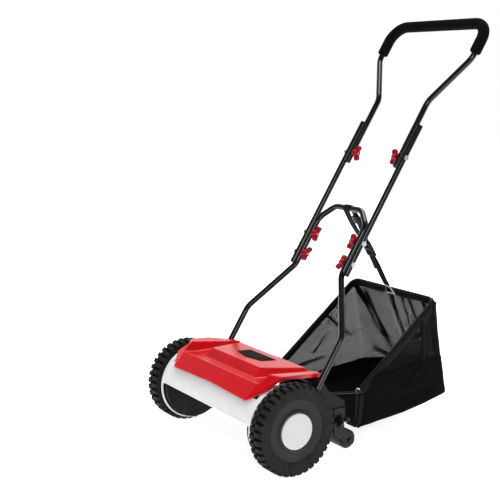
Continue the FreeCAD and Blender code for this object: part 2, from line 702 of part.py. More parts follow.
def tube_plug(u, outward):
    """Plastic plug in the end of a middle tube."""
    way = (on_handle(0, 1) - on_handle(0, 0)) * outward
    end = on_handle(MID_X, u)
    cap = Part.makeCylinder(TUBE_R, 2.5, end, way)
    stem = Part.makeCylinder(TUBE_R - TUBE_WALL, 14.0, end, way * -1)
    return fuse([cap, stem])


def upper_handle():
    tube = pipe(both_ways(UPPER), GRIP_BEND)
    return tube.cut(bolt_holes((FOLD_U,), 130.0, BOLT_R + 0.08))


def grip():
    """Foam sleeve over the top bar and the bends beside it."""
    half = ((GRIP_X, GRIP_FROM_U), (GRIP_X, GRIP_U))
    return pipe(both_ways(half), GRIP_BEND, GRIP_R, TUBE_R)


def handle_bolt(u):
    """Carriage bolt through two tubes, with its head on the outside."""
    head_x = SHANK[1]
    return fuse([across_handle(BOLT_R, SHANK[0], head_x + 1, u),
                 across_handle(7.0, head_x, head_x + 2.6, u)])


KNOB_SEAT = LEG_X - TUBE_R - 0.6
KNOB_LENGTH = 17.0


def wing_knob(seat_x, length, span, y, z, hole, tilt):
    """Wing knob on a bolt along X, its mouth facing +X at seat_x."""
    hub = Part.makeCone(8.0, 10.0, length, Vector(seat_x - length, y, z), X_AXIS)
    wings = []
    for way in (1, -1):
        outline = [Vector(seat_x - length - 3, y + way * 4, z - 3.2),
                   Vector(seat_x - 5, y + way * 4, z - 3.2),
                   Vector(seat_x - 7, y + way * (span - 5), z - 3.2),
                   Vector(seat_x - 12, y + way * span, z - 3.2),
                   Vector(seat_x - length - 6, y + way * (span - 2), z - 3.2),
                   Vector(seat_x - length - 7, y + way * (span - 8), z - 3.2)]
        face = Part.Face(Part.makePolygon(outline + outline[:1]))
        wings.append(face.extrude(Vector(0, 0, 6.4)))
    body = fuse([hub] + wings)
    body = body.cut(cyl_x(hole, seat_x - length - 8, seat_x + 1, y, z))
    body.rotate(Vector(0, y, z), X_AXIS, tilt)
    return body


def handle_knob(u, tilt):
    place = on_handle(0, u)
    return wing_knob(KNOB_SEAT, KNOB_LENGTH, 21.0, place.y, place.z, BOLT_R + 0.06, tilt)


def height_knob():
    """The roller bracket's knob faces inward, so it is the handle's knob turned about."""
    y, z = HEIGHT_BOLT
    knob = wing_knob(-(BRACKET_OUT + 0.5), 15.0, 20.0, y, z, 4.06, 25)
    return mirrored(knob)


def handle_bracket():
    """Stiffening strip between a handle foot and its side plate."""
    low = on_handle(0, FOOT_U)
    strip = box(PLATE_OUT, FOOT_X - TUBE_R - 0.1, -14, 14, 0, BRACKET_LENGTH)
    strip.rotate(Vector(0, 0, 0), X_AXIS, -math.degrees(LEAN))
    strip.translate(Vector(0, low.y, low.z))
    holes = [cyl_x(4.0, PLATE_OUT - 1, FOOT_X, y, z) for y, z in foot_points()]
    return strip.cut(Part.makeCompound(holes))


def foot_bolt(u):
    """Bolt through a handle foot, its bracket and the side plate, with its nut inside."""
    outer = FOOT_X + TUBE_R
    return fuse([across_handle(4.0, PLATE_IN - 2.2, outer + 1, u),
                 across_handle(7.5, outer, outer + 4.0, u),
                 across_handle(7.5, PLATE_IN - 2.2, PLATE_IN, u)])


# ---- roller -----------------------------------------------------------------------------------
BRACKET_IN = PLATE_OUT + 0.15
BRACKET_OUT = BRACKET_IN + 3.0
ROLLER_SHAFT_R = 5.0


def roller_bracket():
    """Slotted bracket that slides up and down between the side plate's guides."""
    y, z = HEIGHT_BOLT
    arm = prism_x([(GUIDE_Y[0] + 0.3, 115), (GUIDE_Y[1] - 0.3, 115), (GUIDE_Y[1] - 0.3, 60),
                   (ROLLER_Y + 9, ROLLER_R + 8), (ROLLER_Y - 6, ROLLER_R - 10),
                   (GUIDE_Y[0] + 0.3, 52)], BRACKET_IN, BRACKET_OUT)
    plate = arm.fuse(cyl_x(12.0, BRACKET_IN, BRACKET_OUT, ROLLER_Y, ROLLER_R)).removeSplitter()
    low, high = HEIGHT_TRAVEL
    slot = fuse([cyl_x(4.1, BRACKET_IN - 1, BRACKET_OUT + 1, y, z - high),
                 cyl_x(4.1, BRACKET_IN - 1, BRACKET_OUT + 1, y, z - low),
                 box(BRACKET_IN - 1, BRACKET_OUT + 1, y - 4.1, y + 4.1, z - high, z - low)])
    hole = cyl_x(ROLLER_SHAFT_R, BRACKET_IN - 1, BRACKET_OUT + 1, ROLLER_Y, ROLLER_R)
    return plate.cut(slot).cut(hole)


def roller_shaft():
    shaft = cyl_x(ROLLER_SHAFT_R, -BRACKET_OUT - 4, BRACKET_OUT + 4, ROLLER_Y, ROLLER_R)
    heads = [on_side(cyl_x(8.0, BRACKET_OUT, BRACKET_OUT + 4, ROLLER_Y, ROLLER_R), side)
             for side in SIDES.values()]
    return fuse([shaft] + heads)


def roller_tube():
    return ring_x(ROLLER_R, ROLLER_R - 4, -ROLLER_HALF, ROLLER_HALF, ROLLER_Y, ROLLER_R)


def roller_cap():
    """End plug that bears on the roller shaft."""
    cap = fuse([cyl_x(ROLLER_R - 4, ROLLER_HALF - 12, ROLLER_HALF, ROLLER_Y, ROLLER_R),
                cyl_x(ROLLER_R - 5, ROLLER_HALF - 1, ROLLER_HALF + 3, ROLLER_Y, ROLLER_R)])
    return cap.cut(cyl_x(ROLLER_SHAFT_R + 0.06, ROLLER_HALF - 14, ROLLER_HALF + 5, ROLLER_Y, ROLLER_R))


# ---- grass bag --------------------------------------------------------------------------------
# Corners of a side panel as (y, z): front foot, front rim, rear rim, rear foot.
BAG_PROFILE = [(262.0, 40.0), (270.0, 134.0), (523.0, 337.0), (573.0, 76.0)]
BAG_SPLIT = (127.0, 0.27, 0.078)        # seam height at x = 0, y = 400, and its rise per mm in x and y
WIRE_R = 3.0


def bag_shell():
    """Bottom, back and sides of the bag, open at the front and along the sloping rim."""
    outer = prism_x(BAG_PROFILE, -BAG_HALF, BAG_HALF)
    foot, rim, top, heel = BAG_PROFILE
    hollow = [(foot[0] - 30, foot[1] + FABRIC - 3.2), (rim[0] - 40, rim[1] + 10), (top[0] - 20, top[1] + 40),
              (top[0] - FABRIC + 2 - 12, top[1] + 60), (top[0] - FABRIC, top[1]),
              (heel[0] - FABRIC - 1, heel[1] + FABRIC + 0.4)]
    inner = prism_x(hollow, -BAG_HALF + FABRIC, BAG_HALF - FABRIC)
    return outer.cut(inner)


def under_seam():
    """Everything below the sloping seam between the solid fabric and the mesh."""
    height, across, back = BAG_SPLIT
    seam = [(x, y, height + across * x + back * (y - 400)) for x, y in
            ((-200, 200), (200, 200), (200, 600), (-200, 600))]
    floor = [(x, y, -10.0) for x, y, _ in seam]
    sides = [[seam[i], seam[(i + 1) % 4], floor[(i + 1) % 4], floor[i]] for i in range(4)]
    return polyhedron([turned_over(seam), floor] + sides)


def bag_fabric():
    return bag_shell().common(under_seam())


def bag_mesh():
    return bag_shell().cut(under_seam())


def bag_frame():
    """Wire that carries the bag: a front hoop and a sloping hoop round the rim."""
    foot, rim, top, _ = BAG_PROFILE
    x = BAG_HALF - 9.0
    front_low = (foot[0] - 4.5, foot[1] + 3)
    front_high = (rim[0] - 6.0, rim[1] + 2)
    rear_high = (top[0] - 2.0, top[1] + 7.0)
    hoop = [Vector(x, *front_high), Vector(x, *front_low),
            Vector(-x, *front_low), Vector(-x, *front_high)]
    rise = (rim[0] - 6.0, rim[1] + 2.0)
    slope = [Vector(x, *rise), Vector(x, *rear_high), Vector(-x, *rear_high), Vector(-x, *rise)]
    joints = [Part.makeSphere(WIRE_R + 1.2, Vector(side * x, *rise)) for side in SIDES.values()]
    return fuse([rod(hoop, WIRE_R, 14.0), rod(slope, WIRE_R, 22.0)] + joints)


def bag_hook():
    """Zinc hook that drops over the hanger's pin and turns on it."""
    y, z = BAG_PIVOT
    eye = ring_x(6.2, HANGER_R + 0.35, 171.0, 174.0, y, z)
    mouth = box(170.0, 175.0, y - 2.8, y + 2.8, z - 9, z)
    return eye.cut(mouth)


def strap_ring():
    """Three-cornered wire ring on the rear rim that the strap hooks to."""
    (y, z) = RING_FOOT
    corners = [Vector(-19, y, z), Vector(19, y, z), Vector(6, y - 9, z + 20), Vector(-6, y - 9, z + 20),
               Vector(-19, y, z)]
    sides = [Part.makeCylinder(RING_R, (b - a).Length, a, b - a)
             for a, b in zip(corners, corners[1:])]
    balls = [Part.makeSphere(RING_R, corner) for corner in corners[:-1]]
    return fuse(sides + balls)


RING_R = 2.2
RING_FOOT = (BAG_PROFILE[2][0] - 10.0, BAG_PROFILE[2][1] - 6.0)
STRAP_HALF = 12.5
STRAP_THICK = 2.2


def strap():
    """Webbing from the arched tube down to the ring on the bag's rim."""
    top = on_handle(0, ARCH_U)
    low = Vector(0, RING_FOOT[0] - 9, RING_FOOT[1] + 20)
    length = (low - top).Length
    loop_top = ring_x(TUBE_R + 0.6 + STRAP_THICK, TUBE_R + 0.6, -STRAP_HALF, STRAP_HALF, 0, 0)
    loop_low = ring_x(RING_R + 0.5 + STRAP_THICK, RING_R + 0.5, -5.0, 5.0, 0, -length)
    web = box(-STRAP_HALF, STRAP_HALF, -STRAP_THICK, STRAP_THICK, -length + 16, -TUBE_R - 1)
    neck = box(-5.0, 5.0, -STRAP_THICK / 2, STRAP_THICK / 2, -length + 3.9, -length + 17)
    body = fuse([loop_top, web, neck, loop_low])
    body.rotate(Vector(0, 0, 0), X_AXIS, math.degrees(math.atan2(low.y - top.y, top.z - low.z)))
    body.translate(top)
    return body


def strap_slide(distance, half, height):
    """Plastic slide round the webbing, a distance down from the arched tube."""
    top = on_handle(0, ARCH_U)
    low = Vector(0, RING_FOOT[0] - 9, RING_FOOT[1] + 20)
    block = box(-half, half, -4.6, 4.6, -distance - height, -distance)
    slot = box(-STRAP_HALF - 0.3, STRAP_HALF + 0.3, -STRAP_THICK, STRAP_THICK,
               -distance - height - 1, -distance + 1)
    body = block.cut(slot)
    body.rotate(Vector(0, 0, 0), X_AXIS, math.degrees(math.atan2(low.y - top.y, top.z - low.z)))
    body.translate(top)
    return body


# ---- write every node -------------------------------------------------------------------------
def pair(shape):
    return Part.makeCompound([shape, mirrored(shape)])


def write_sided(node, shape):
    for name, side in SIDES.items():
        save("%s_%s" % (node, name), on_side(shape, side))


def write_running_gear():
    write_sided("tyre", tyre())
    write_sided("wheel_disc", wheel_disc())
    write_sided("hub_cap", hub_cap())
    save("axle_studs", pair(axle_stud()))
    save("axle_circlips", pair(axle_circlip()))
    write_sided("roller_bracket", roller_bracket())
    save("roller_shaft", roller_shaft())
    save("roller_tube", roller_tube())
    save("roller_caps", pair(roller_cap()))
    save("height_bolts", pair(height_bolt()))
    write_sided("height_knob", height_knob())


def write_cutting_gear():
    blades = reel_blades()
    save("reel_blades", Part.makeCompound(blades))
    save("reel_spiders", Part.makeCompound([spider(x, blades) for x in SPIDER_X]))
    save("reel_shaft", reel_shaft())
    write_sided("pinion", pinion())
    save("drive_pawls", pair(pawl_blank()))
    save("reel_bearings", pair(bearing()))
    save("bedknife", bedknife())
    save("bed_bar", bed_bar())
    save("bedknife_screws", Part.makeCompound([bedknife_screw(x) for x in KNIFE_SCREWS_X]))
    write_sided("bed_adjuster", bed_adjuster())


def write_body():
    write_sided("side_plate", side_plate())
    save("front_tie_bar", tie_bar(FRONT_TIE))
    save("rear_tie_bar", tie_bar(REAR_TIE, COVER_SCREWS_X))
    save("front_guard", front_guard())
    save("deck_cover", deck_cover())
    save("badge", badge())
    save("cover_screws", Part.makeCompound([cover_screw(x) for x in COVER_SCREWS_X]))
    save("bag_hangers", pair(bag_hanger()))


def write_handle():
    save("lower_handle", lower_handle())
    write_sided("middle_tube", middle_tube())
    plugs = [tube_plug(MID_U[0], -1), tube_plug(MID_U[1], 1)]
    save("tube_plugs", Part.makeCompound(plugs + [mirrored(plug) for plug in plugs]))
    save("upper_handle", upper_handle())
    save("grip", grip())
    bolts = [handle_bolt(u) for u in LOWER_BOLTS_U + (FOLD_U,)]
    save("handle_bolts", Part.makeCompound(bolts + [mirrored(bolt) for bolt in bolts]))
    feet = [foot_bolt(u) for u in FOOT_BOLTS_U]
    save("foot_bolts", Part.makeCompound(feet + [mirrored(bolt) for bolt in feet]))
    write_sided("handle_bracket", handle_bracket())
    knobs = (("knob_low", LOWER_BOLTS_U[0], 50), ("knob_mid", LOWER_BOLTS_U[1], 62), ("knob_top", FOLD_U, 75))
    for node, u, tilt in knobs:
        write_sided(node, handle_knob(u, tilt))


def write_bag():
    save("bag_fabric", bag_fabric())
    save("bag_mesh", bag_mesh())
    save("bag_frame", bag_frame())
    save("bag_hooks", pair(bag_hook()))
    save("strap_ring", strap_ring())
    save("strap", strap())
    save("strap_slides", Part.makeCompound([strap_slide(36, 16, 22), strap_slide(120, 17, 46)]))


write_running_gear()
write_cutting_gear()
write_body()
write_handle()
write_bag()
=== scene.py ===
import json
import math

import bmesh
import bpy
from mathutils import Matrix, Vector, noise
from mathutils.geometry import intersect_point_line
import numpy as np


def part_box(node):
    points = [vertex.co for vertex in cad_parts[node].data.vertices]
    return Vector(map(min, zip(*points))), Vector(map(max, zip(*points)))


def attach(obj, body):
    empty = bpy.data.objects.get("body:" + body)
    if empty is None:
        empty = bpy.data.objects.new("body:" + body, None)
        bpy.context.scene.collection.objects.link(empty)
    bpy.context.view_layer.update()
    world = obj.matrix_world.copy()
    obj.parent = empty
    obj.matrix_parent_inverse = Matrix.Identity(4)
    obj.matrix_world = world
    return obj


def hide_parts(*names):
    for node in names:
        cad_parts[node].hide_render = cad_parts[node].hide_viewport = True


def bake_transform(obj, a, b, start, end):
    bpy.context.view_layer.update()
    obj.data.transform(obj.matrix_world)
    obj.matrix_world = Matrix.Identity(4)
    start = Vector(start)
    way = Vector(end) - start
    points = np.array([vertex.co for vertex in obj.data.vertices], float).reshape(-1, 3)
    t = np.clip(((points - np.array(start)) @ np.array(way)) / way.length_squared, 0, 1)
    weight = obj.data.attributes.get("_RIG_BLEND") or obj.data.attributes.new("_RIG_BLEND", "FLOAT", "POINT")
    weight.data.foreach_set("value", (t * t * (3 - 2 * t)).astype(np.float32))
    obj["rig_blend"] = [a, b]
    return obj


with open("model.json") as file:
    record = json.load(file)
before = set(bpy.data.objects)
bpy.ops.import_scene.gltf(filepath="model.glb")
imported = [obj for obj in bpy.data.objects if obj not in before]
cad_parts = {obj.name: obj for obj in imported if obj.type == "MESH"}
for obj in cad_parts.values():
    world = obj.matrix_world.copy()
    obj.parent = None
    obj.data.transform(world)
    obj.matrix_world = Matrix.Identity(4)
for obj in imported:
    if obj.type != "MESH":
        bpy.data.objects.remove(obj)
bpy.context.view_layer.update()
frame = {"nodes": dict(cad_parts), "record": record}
nodes = frame["nodes"]

# Push reel mower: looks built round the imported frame. Lengths below are millimetres laid out from
# the wheel axle (y = 0 at the axle, z = 0 on the ground), and at() puts them in the frame.
BODY_OF = {node: body for body, members in frame["record"]["behaviour"]["bodies"].items()
           for node in members}
LOW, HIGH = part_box("tyre_left")
AXLE_Y = (LOW.y + HIGH.y) / 2
MM = 0.001
WELD = 1e-6


def at(x, y, z):
    """A place in the frame, in metres, from millimetres laid out from the axle."""
    return Vector((x * MM, AXLE_Y + y * MM, z * MM))


# ---- materials --------------------------------------------------------------------------------
# Pitches, radii and heights in metres, as the shader nodes take them; a noise's scale is its
# number of patches in a metre.
CLOTH_PITCH, NET_PITCH = 0.0011, 0.0017
RIB_PITCH, HERRINGBONE_PITCH = 0.0016, 0.003
GROUND_FROM, GROUND_TO = 0.0588, 0.0598
DUST_HEIGHT = 0.12
DRIFT_SCALE = 22.0


def srgb(red, green, blue):
    """A colour given as 0 to 255 display values."""
    linear = []
    for value in (red, green, blue):
        value /= 255
        linear.append(value / 12.92 if value <= 0.04045 else ((value + 0.055) / 1.055) ** 2.4)
    return (*linear, 1.0)


def scaled(colour, factor):
    """A lighter or darker colour, no brighter than white."""
    return (*[min(1.0, channel * factor) for channel in colour[:3]], 1.0)


class Nodes:
    """Short calls for building one material's node tree."""

    def __init__(self, name):
        self.material = bpy.data.materials.new(name)
        self.material.use_nodes = True
        self.tree = self.material.node_tree
        self.shader = self.tree.nodes["Principled BSDF"]

    def add(self, kind, inputs=None, **settings):
        node = self.tree.nodes.new(kind)
        for key, value in settings.items():
            setattr(node, key, value)
        for key, value in (inputs or {}).items():
            if isinstance(value, bpy.types.NodeSocket):
                self.tree.links.new(value, node.inputs[key])
            else:
                node.inputs[key].default_value = value
        return node

    def plug(self, **inputs):
        """Sets or links the main shader's sockets; an underscore in a name is a space."""
        for key, value in inputs.items():
            socket = self.shader.inputs[key.replace("_", " ")]
            if isinstance(value, bpy.types.NodeSocket):
                self.tree.links.new(value, socket)
            else:
                socket.default_value = value

    def place(self, uv=False):
        """Where a point is: in the object's metres, or in its UV map."""
        return self.add("ShaderNodeTexCoord").outputs["UV" if uv else "Object"]

    def noise(self, vector, scale, detail=3.0, rough=0.5):
        return self.add("ShaderNodeTexNoise", {"Vector": vector, "Scale": scale, "Detail": detail,
                                               "Roughness": rough}).outputs["Fac"]

    def math(self, operation, first, second=0.0, clamp=False):
        node = self.add("ShaderNodeMath", {0: first, 1: second}, operation=operation, use_clamp=clamp)
        return node.outputs[0]

    def ranged(self, value, low, high, to_low, to_high):
        return self.add("ShaderNodeMapRange", {"Value": value, "From Min": low, "From Max": high,
                                               "To Min": to_low, "To Max": to_high}).outputs[0]

    def blend(self, factor, first, second):
        """Mixes two colours; the numbers are the colour form's sockets of the mix node."""
        node = self.add("ShaderNodeMix", data_type="RGBA")
        for index, value in ((0, factor), (6, first), (7, second)):
            if isinstance(value, bpy.types.NodeSocket):
                self.tree.links.new(value, node.inputs[index])
            else:
                node.inputs[index].default_value = value
        return node.outputs[2]

    def bump(self, height, distance, under=None):
        node = self.add("ShaderNodeBump", {"Height": height, "Distance": distance, "Strength": 1.0})
        if under is not None:
            self.tree.links.new(under, node.inputs["Normal"])
        return node.outputs["Normal"]

    def stripes(self, coordinate, period):
        """0 to 1 along a coordinate in metres, once each period."""
        wave = self.math("SINE", self.math("MULTIPLY", coordinate, 2 * math.pi / period))
        return self.ranged(wave, -1, 1, 0, 1)


def moulded(name, colour, rough, vary=0.07, grain=1400.0, grain_depth=0.00002,
            orange=160.0, orange_depth=0.00003, coat=0.0, dust=0.0, shine=0.4):
    """Plastic or paint: slow colour drift, fine grain, faint flow waviness, and dust that settles low."""
    n = Nodes(name)
    where = n.place()
    drift = n.noise(where, DRIFT_SCALE, 4.0)
    shade = n.blend(n.ranged(drift, 0.3, 0.7, 0, 1), scaled(colour, 1 - vary), scaled(colour, 1 + vary))
    fine = n.noise(where, grain, 2.0)
    if dust:
        height = n.add("ShaderNodeSeparateXYZ", {"Vector": where}).outputs["Z"]
        low = n.math("MULTIPLY", n.ranged(height, 0.0, DUST_HEIGHT, 1, 0), n.ranged(drift, 0.4, 0.65, 0, 1))
        shade = n.blend(n.math("MULTIPLY", low, dust), shade, srgb(150, 142, 128))
    n.plug(Base_Color=shade, Coat_Weight=coat, Coat_Roughness=0.12, Specular_IOR_Level=shine)
    uneven = n.noise(where, DRIFT_SCALE * 2, 1.0)
    n.plug(Roughness=n.ranged(uneven, 0.3, 0.7, rough * 0.92, rough * 1.1))
    wavy = n.bump(n.noise(where, orange, 1.0), orange_depth)
    n.plug(Normal=n.bump(fine, grain_depth, under=wavy))
    return n.material


def plated(name, colour, rough):
    """Zinc-plated steel: spangled tone, fine scratches and a faint stain."""
    n = Nodes(name)
    where = n.place()
    cells = n.add("ShaderNodeTexVoronoi", {"Vector": where, "Scale": 260.0}).outputs["Color"]
    spangle = n.add("ShaderNodeSeparateColor", {"Color": cells}).outputs["Red"]
    stain = n.noise(where, 45.0, 5.0, 0.6)
    tone = n.blend(spangle, scaled(colour, 0.84), scaled(colour, 1.1))
    tone = n.blend(n.ranged(stain, 0.55, 0.75, 0, 0.5), tone, scaled(colour, 0.5))
    stretched = n.add("ShaderNodeMapping", {"Vector": where, "Scale": (1.0, 9.0, 1.0)}).outputs[0]
    scratch = n.noise(stretched, 700.0, 2.0)
    n.plug(Base_Color=tone, Metallic=1.0)
    n.plug(Roughness=n.ranged(scratch, 0.3, 0.7, rough * 0.8, rough * 1.3))
    n.plug(Normal=n.bump(scratch, 0.00003))
    return n.material


def rubber(name):
    """Tyre rubber: grey bloom, fine grain, and dust in the low spots of the tread."""
    n = Nodes(name)
    where = n.place()
    bloom = n.noise(where, 35.0, 5.0, 0.6)
    tone = n.blend(n.ranged(bloom, 0.35, 0.7, 0, 1), srgb(29, 28, 28), srgb(42, 41, 40))
    fine = n.noise(where, 900.0, 3.0, 0.7)
    dusty = n.noise(where, 120.0, 4.0)
    tone = n.blend(n.ranged(dusty, 0.55, 0.8, 0, 0.2), tone, srgb(84, 80, 74))
    n.plug(Base_Color=tone, Specular_IOR_Level=0.08)
    n.plug(Roughness=n.ranged(bloom, 0.3, 0.7, 0.52, 0.7))
    coarse = n.bump(n.noise(where, 240.0, 2.0), 0.00008)
    n.plug(Normal=n.bump(fine, 0.00007, under=coarse))
    return n.material


def foam(name):
    """Closed-cell foam: dark cells and a soft, uneven skin."""
    n = Nodes(name)
    where = n.place()
    cells = n.add("ShaderNodeTexVoronoi", {"Vector": where, "Scale": 620.0}).outputs["Distance"]
    broad = n.noise(where, 30.0, 4.0)
    tone = n.blend(n.ranged(cells, 0.1, 0.6, 0, 1), srgb(6, 6, 6), srgb(14, 13, 14))
    tone = n.blend(n.ranged(broad, 0.4, 0.7, 0, 0.35), tone, srgb(20, 19, 19))
    n.plug(Base_Color=tone, Roughness=0.95, Specular_IOR_Level=0.06)
    soft = n.bump(n.noise(where, 70.0, 2.0), 0.0006)
    n.plug(Normal=n.bump(cells, 0.0004, under=soft))
    return n.material


def split_uv(n):
    """The two directions of a UV map that is laid out in metres."""
    parts = n.add("ShaderNodeSeparateXYZ", {"Vector": n.place(uv=True)}).outputs
    return parts["X"], parts["Y"]


def woven(name, colour, pitch, depth):
    """Plain-weave cloth whose UV map is in metres: threads over and under, with dusty drift."""
    n = Nodes(name)
    u, v = split_uv(n)
    over = n.stripes(u, pitch)
    under = n.stripes(v, pitch)
    weave = n.math("MULTIPLY", over, under)
    inverse = n.math("MULTIPLY", n.math("SUBTRACT", 1.0, over), n.math("SUBTRACT", 1.0, under))
    thread = n.math("ADD", weave, inverse, clamp=True)
    drift = n.noise(n.place(), 16.0, 5.0, 0.6)
    tone = n.blend(thread, scaled(colour, 0.82), scaled(colour, 1.36))
    tone = n.blend(n.ranged(drift, 0.5, 0.8, 0, 0.3), tone, scaled(colour, 2.4))
    n.plug(Base_Color=tone, Specular_IOR_Level=0.04)
    n.plug(Roughness=n.ranged(thread, 0, 1, 0.88, 0.78))
    n.plug(Normal=n.bump(thread, depth))
    return n.material


def netting(name, colour, pitch, open_above):
    """Mesh cloth: round threads with small square holes, which close up where it is bunched in folds."""
    n = Nodes(name)
    u, v = split_uv(n)
    across = n.stripes(u, pitch)
    along = n.stripes(v, pitch)
    hole = n.math("MULTIPLY", across, along)
    thread = n.math("SUBTRACT", 1.0, hole)
    drift = n.noise(n.place(), 20.0, 4.0)
    tone = n.blend(thread, scaled(colour, 0.75), scaled(colour, 1.25))
    tone = n.blend(n.ranged(drift, 0.45, 0.75, 0, 0.4), tone, scaled(colour, 1.5))
    n.plug(Base_Color=tone, Specular_IOR_Level=0.05, Roughness=0.7)
    bunched = n.add("ShaderNodeAttribute", attribute_name="bunched").outputs["Fac"]
    n.plug(Alpha=n.math("LESS_THAN", hole, n.ranged(bunched, 0.1, 1.0, open_above, 1.01)))
    n.plug(Normal=n.bump(thread, 0.0003))
    return n.material


def webbing(name, colour):
    """Polyester webbing: ribs across and a fine herringbone."""
    n = Nodes(name)
    u, v = split_uv(n)
    ribs = n.stripes(v, RIB_PITCH)
    herring = n.stripes(n.math("ADD", v, u), HERRINGBONE_PITCH)
    height = n.math("ADD", n.math("MULTIPLY", ribs, 0.6), n.math("MULTIPLY", herring, 0.4))
    tone = n.blend(height, scaled(colour, 0.6), scaled(colour, 1.6))
    drift = n.noise(n.place(), 40.0, 4.0)
    tone = n.blend(n.ranged(drift, 0.5, 0.8, 0, 0.3), tone, scaled(colour, 2.2))
    n.plug(Base_Color=tone, Roughness=0.72, Specular_IOR_Level=0.15)
    n.plug(Normal=n.bump(height, 0.0003))
    return n.material


def reel_steel(name):
    """Painted blade steel, ground bright at the cutting edge."""
    n = Nodes(name)
    where = n.place()
    low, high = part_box("reel_shaft")
    centre = (low + high) / 2
    place = n.add("ShaderNodeSeparateXYZ", {"Vector": where}).outputs
    dy = n.math("SUBTRACT", place["Y"], centre.y)
    dz = n.math("SUBTRACT", place["Z"], centre.z)
    radius = n.math("SQRT", n.math("ADD", n.math("MULTIPLY", dy, dy), n.math("MULTIPLY", dz, dz)))
    ground = n.ranged(n.math("ADD", radius, n.math("MULTIPLY", n.noise(where, 90.0), 0.002)),
                      GROUND_FROM, GROUND_TO, 0, 1)
    drift = n.noise(where, 40.0, 5.0)
    paint = n.blend(n.ranged(drift, 0.35, 0.7, 0, 1), srgb(28, 28, 30), srgb(52, 51, 50))
    n.plug(Base_Color=n.blend(ground, paint, srgb(190, 190, 192)), Metallic=ground)
    n.plug(Roughness=n.ranged(n.noise(where, 500.0), 0.3, 0.7, 0.3, 0.48))
    n.plug(Normal=n.bump(n.noise(where, 800.0, 2.0), 0.00004))
    return n.material


FINISH = {
    "white": moulded("white_paint", srgb(240, 240, 241), 0.34, vary=0.02, dust=0.12),
    "red_cover": moulded("red_plastic", srgb(214, 4, 22), 0.3, vary=0.05, coat=0.25, shine=0.25, orange=14.0,
                         orange_depth=0.0002, grain=500.0, grain_depth=0.000004),
    "badge": moulded("badge_plastic", srgb(5, 5, 5), 0.6, vary=0.15, shine=0.04),
    "plate": moulded("side_plate_plastic", srgb(12, 12, 13), 0.5, vary=0.2, dust=0.08, shine=0.2),
    "tyre": rubber("tyre_rubber"),
    "wheel": moulded("wheel_plastic", srgb(24, 24, 25), 0.5, vary=0.15, dust=0.1, shine=0.25),
    "cap": moulded("hub_cap_plastic", srgb(204, 204, 205), 0.38, vary=0.02),
    "tube": moulded("tube_paint", srgb(9, 9, 10), 0.15, vary=0.2, coat=0.2, orange=220.0, shine=0.35),
    "black_steel": moulded("black_steel", srgb(10, 10, 11), 0.35, vary=0.2, shine=0.25),
    "zinc": plated("zinc_plate", srgb(186, 188, 192), 0.32),
    "blade": reel_steel("reel_steel"),
    "gear": moulded("gear_nylon", srgb(44, 44, 46), 0.45, vary=0.15),
    "foam": foam("foam_grip"),
    "knob": moulded("red_knob_plastic", srgb(160, 4, 30), 0.36, vary=0.08, shine=0.2),
    "black_knob": moulded("black_knob_plastic", srgb(14, 14, 15), 0.42, vary=0.2, shine=0.25),
    "roller": moulded("roller_plastic", srgb(16, 16, 17), 0.5, vary=0.25, dust=0.2, shine=0.2),
    "fabric": woven("bag_cloth", srgb(11, 10, 11), CLOTH_PITCH, 0.0002),
    "mesh": netting("bag_netting", srgb(10, 10, 11), NET_PITCH, 0.76),
    "webbing": webbing("strap_webbing", srgb(11, 11, 12)),
}


# ---- pieces made from the frame's own shapes -----------------------------------------------------
def new_piece(name, mesh):
    """An object that holds the mesh, in the scene."""
    piece = bpy.data.objects.new(name, mesh)
    bpy.context.scene.collection.objects.link(piece)
    return piece


def mesh_from(name, bm):
    """Turns a bmesh into a smooth-shaded mesh and frees it."""
    mesh = bpy.data.meshes.new(name)
    bm.to_mesh(mesh)
    bm.free()
    mesh.shade_smooth()
    return mesh


def clean_copy(node):
    """The node's shape as a welded bmesh with its flat faces merged."""
    source = nodes[node].data
    bm = bmesh.new()
    verts = [bm.verts.new(v.co) for v in source.vertices]
    for polygon in source.polygons:
        try:
            bm.faces.new([verts[i] for i in polygon.vertices])
        except ValueError:
            continue
    bmesh.ops.remove_doubles(bm, verts=bm.verts, dist=WELD)
    bmesh.ops.dissolve_degenerate(bm, edges=bm.edges, dist=WELD)
    bmesh.ops.dissolve_limit(bm, angle_limit=math.radians(0.6), verts=bm.verts, edges=bm.edges)
    return bm


def soften(piece, width, angle=32.0):
    """Rounds every edge sharper than the angle, width in mm, and evens the shading."""
    bevel = piece.modifiers.new("bevel", "BEVEL")
    bevel.width = width * MM
    bevel.segments = 2
    bevel.limit_method = "ANGLE"
    bevel.angle_limit = math.radians(angle)
    bevel.miter_outer = "MITER_ARC"
    even = piece.modifiers.new("even", "WEIGHTED_NORMAL")
    even.keep_sharp = True


def slot_of(node):
    """The name of the node's material slot in the record."""
    return nodes[node].data.materials[0].name.split(".")[0]


def rounded(node, width):
    """The node's shape with its sharp edges rounded off, in its place."""
    name = node + "_shape"
    piece = new_piece(name, mesh_from(name, clean_copy(node)))
    slot = slot_of(node)
    piece.data.materials.append(FINISH[slot])
    soften(piece, width)
    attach(piece, BODY_OF[node])
    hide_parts(node)


# How far each node's sharp edges are rounded, in mm; left and right share a line.
ROUNDING = {
    "badge": 0.7, "front_guard": 0.9, "tyre": 1.3, "hub_cap": 0.8, "wheel_disc": 0.8,
    "height_knob": 1.5, "knob_low": 1.5, "knob_mid": 1.5, "knob_top": 1.5, "roller_bracket": 0.5,
    "handle_bracket": 0.6, "side_plate": 0.9, "foot_bolts": 0.8, "handle_bolts": 0.8,
    "height_bolts": 0.7, "roller_shaft": 0.6, "roller_caps": 0.8, "tube_plugs": 0.8,
    "cover_screws": 0.6, "bed_bar": 0.8, "grip": 3.0, "axle_studs": 0.5, "front_tie_bar": 0.5,
    "rear_tie_bar": 0.5,
}
# Nodes that have a piece of their own below.
CUSTOM = ("deck_cover", "bag_fabric", "bag_mesh", "strap", "strap_slides")

